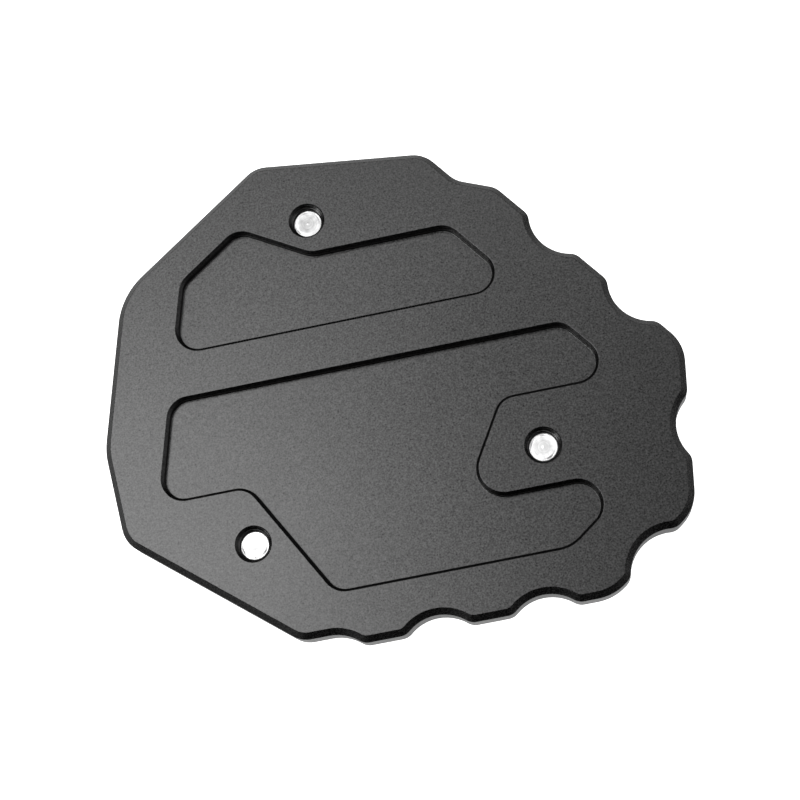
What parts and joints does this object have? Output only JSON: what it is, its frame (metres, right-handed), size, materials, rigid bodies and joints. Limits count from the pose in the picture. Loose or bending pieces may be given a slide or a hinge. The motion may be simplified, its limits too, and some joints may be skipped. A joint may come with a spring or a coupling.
{
  "type": "kickstand foot enlarger",
  "caption": "Scalloped aluminium plate that widens the foot of a motorcycle side stand, held on by a slotted clamp plate and countersunk screws.",
  "frame": {"origin": "under the middle of the base plate's outline, on the flat outer face of the clamp plate that the part lies on", "axes": "+Z out of the ground face, away from the stand; +X along the long lines of the ground side's pockets"},
  "size_m": [0.1002, 0.0868, 0.014],
  "materials": {
    "base_anodised": "fine bead-blasted and black anodised, satin",
    "clamp_anodised": "fine bead-blasted and black anodised, satin",
    "screw_steel": "bright, turned rings on the ends"
  },
  "bodies": {
    "root": {"base_plate": "base_anodised", "clamp_plate": "clamp_anodised", "clamp_screws": "screw_steel"}
  },
  "joints": []
}
